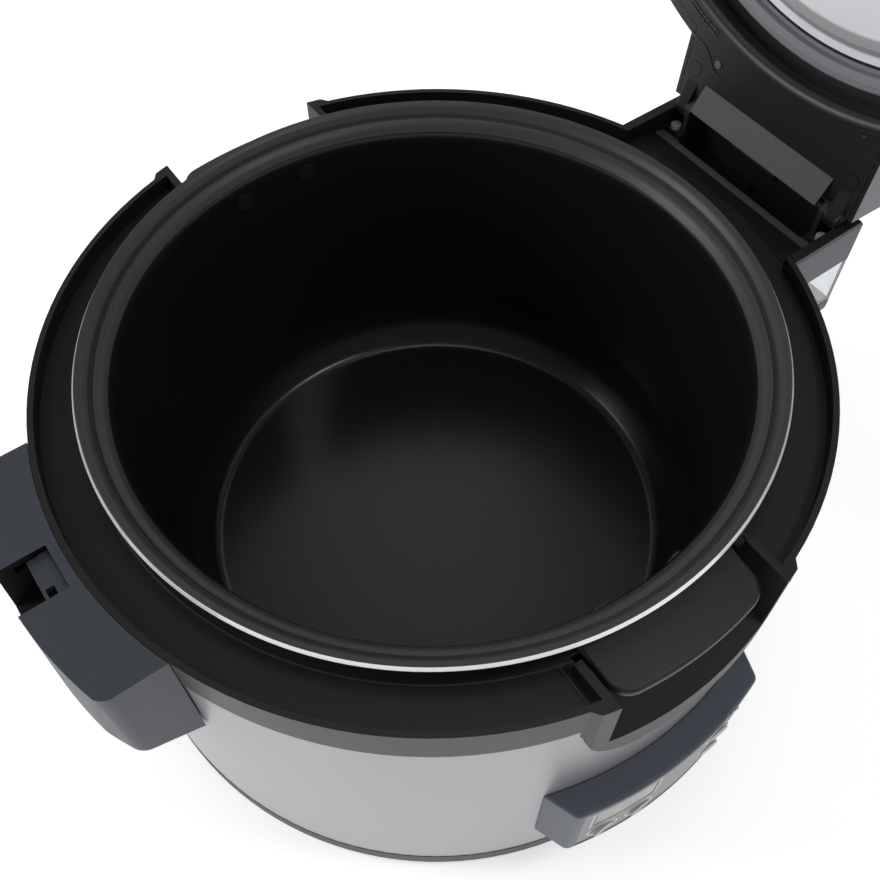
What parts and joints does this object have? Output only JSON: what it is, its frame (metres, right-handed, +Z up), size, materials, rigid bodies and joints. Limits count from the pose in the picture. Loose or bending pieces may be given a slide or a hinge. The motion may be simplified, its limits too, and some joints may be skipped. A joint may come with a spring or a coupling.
{
  "type": "electric rice cooker",
  "caption": "Large electric rice cooker with a round steel body, hinged lid standing open, removable non-stick pot with riveted handles, front control panel and side latch block",
  "frame": {"origin": "on the table under the centre of the round body", "axes": "+Z up, -Y towards the control panel, +X towards the lid hinge, -X towards the latch block"},
  "size_m": [0.5288, 0.4047, 0.676],
  "materials": {
    "steel": "satin",
    "base_black": "matte",
    "ring_black": "satin",
    "slate": "satin",
    "fascia": "satin",
    "lens": "gloss",
    "lamp": "gloss",
    "key_grey": "satin",
    "key_red": "satin",
    "board": "matte",
    "rubber": "matte",
    "silicone": "matte",
    "screw": "polished",
    "spring": "drawn",
    "bracket": "stamped",
    "liner": "drawn",
    "aluminium": "cast",
    "heater": "matte",
    "wool": "felted",
    "nonstick": "non-stick coated",
    "handle": "satin",
    "clear": "clear moulded",
    "lid_grey": "satin",
    "lid_black": "satin",
    "plate": "anodised"
  },
  "bodies": {
    "body": {"base_pan": "base_black", "rubber_feet": "rubber", "foot_screws": "screw", "outer_shell": "steel", "top_ring": "ring_black", "hinge_tray": "ring_black", "inner_liner": "liner", "liner_posts": "base_black", "heating_plate": "aluminium", "heater_element": "heater", "band_heater": "heater", "insulation_wrap": "wool", "sensor_bracket": "bracket", "sensor_spring": "spring", "control_housing": "slate", "panel_face": "fascia", "display_lens": "lens", "lamp_lenses": "lamp", "control_board": "board", "latch_housing": "slate", "hinge_bracket_front": "bracket", "hinge_bracket_rear": "bracket", "hinge_screws": "screw", "hinge_pin": "bracket", "hinge_spring": "spring", "hinge_housing": "slate", "collector_shelf": "slate", "cord_gland": "base_black"},
    "pot": {"inner_pot": "nonstick", "pot_handle_front": "handle", "pot_handle_rear": "handle", "pot_rivets": "screw"},
    "lid": {"lid_shell": "lid_grey", "lid_liner": "lid_black", "arm_plugs": "lid_black", "liner_screws": "screw", "lid_hook": "bracket", "lid_insulation": "wool"},
    "inner_lid": {"lid_inner_plate": "plate", "lid_gasket": "silicone", "plate_grommet": "silicone"},
    "vent": {"steam_vent": "lid_grey"},
    "catch": {"latch_catch": "slate"},
    "dew_cup": {"dew_collector": "clear"},
    "sensor": {"sensor_cap": "aluminium"},
    "menu_key": {"key_menu": "key_grey"},
    "timer_key": {"key_timer": "key_grey"},
    "warm_key": {"key_warm": "key_grey"},
    "cook_key": {"key_cook": "key_red"}
  },
  "joints": [
    {"name": "lid_hinge", "type": "hinge", "parent": "body", "child": "lid", "pos_m": [0.222, 0, 0.233], "axis": [0, 1, 0], "range_deg": [-94, 0]},
    {"name": "pot_lift", "type": "slide", "parent": "body", "child": "pot", "axis": [0, 0, 1], "range_m": [0, 0.26]},
    {"name": "plate_pull", "type": "slide", "parent": "lid", "child": "inner_lid", "axis": [-0.9976, 0, 0.0698], "range_m": [0, 0.02]},
    {"name": "vent_lift", "type": "slide", "parent": "lid", "child": "vent", "axis": [0.9976, 0, -0.0698], "range_m": [0, 0.03]},
    {"name": "catch_slide", "type": "slide", "parent": "body", "child": "catch", "axis": [1, 0, 0], "range_m": [-0.005, 0]},
    {"name": "cup_slide", "type": "slide", "parent": "body", "child": "dew_cup", "axis": [1, 0, 0], "range_m": [0, 0.05]},
    {"name": "sensor_press", "type": "slide", "parent": "body", "child": "sensor", "axis": [0, 0, 1], "range_m": [-0.003, 0], "stiffness_N_per_m": 400, "springref_m": 0.006, "deforming": ["sensor_spring"]},
    {"name": "menu_press", "type": "slide", "parent": "body", "child": "menu_key", "axis": [0, 1, 0], "range_m": [0, 0.0012], "stiffness_N_per_m": 300, "springref_m": -0.003},
    {"name": "timer_press", "type": "slide", "parent": "body", "child": "timer_key", "axis": [0, 1, 0], "range_m": [0, 0.0012], "stiffness_N_per_m": 300, "springref_m": -0.003},
    {"name": "warm_press", "type": "slide", "parent": "body", "child": "warm_key", "axis": [0, 1, 0], "range_m": [0, 0.0012], "stiffness_N_per_m": 300, "springref_m": -0.003},
    {"name": "cook_press", "type": "slide", "parent": "body", "child": "cook_key", "axis": [0, 1, 0], "range_m": [0, 0.0012], "stiffness_N_per_m": 300, "springref_m": -0.003}
  ]
}
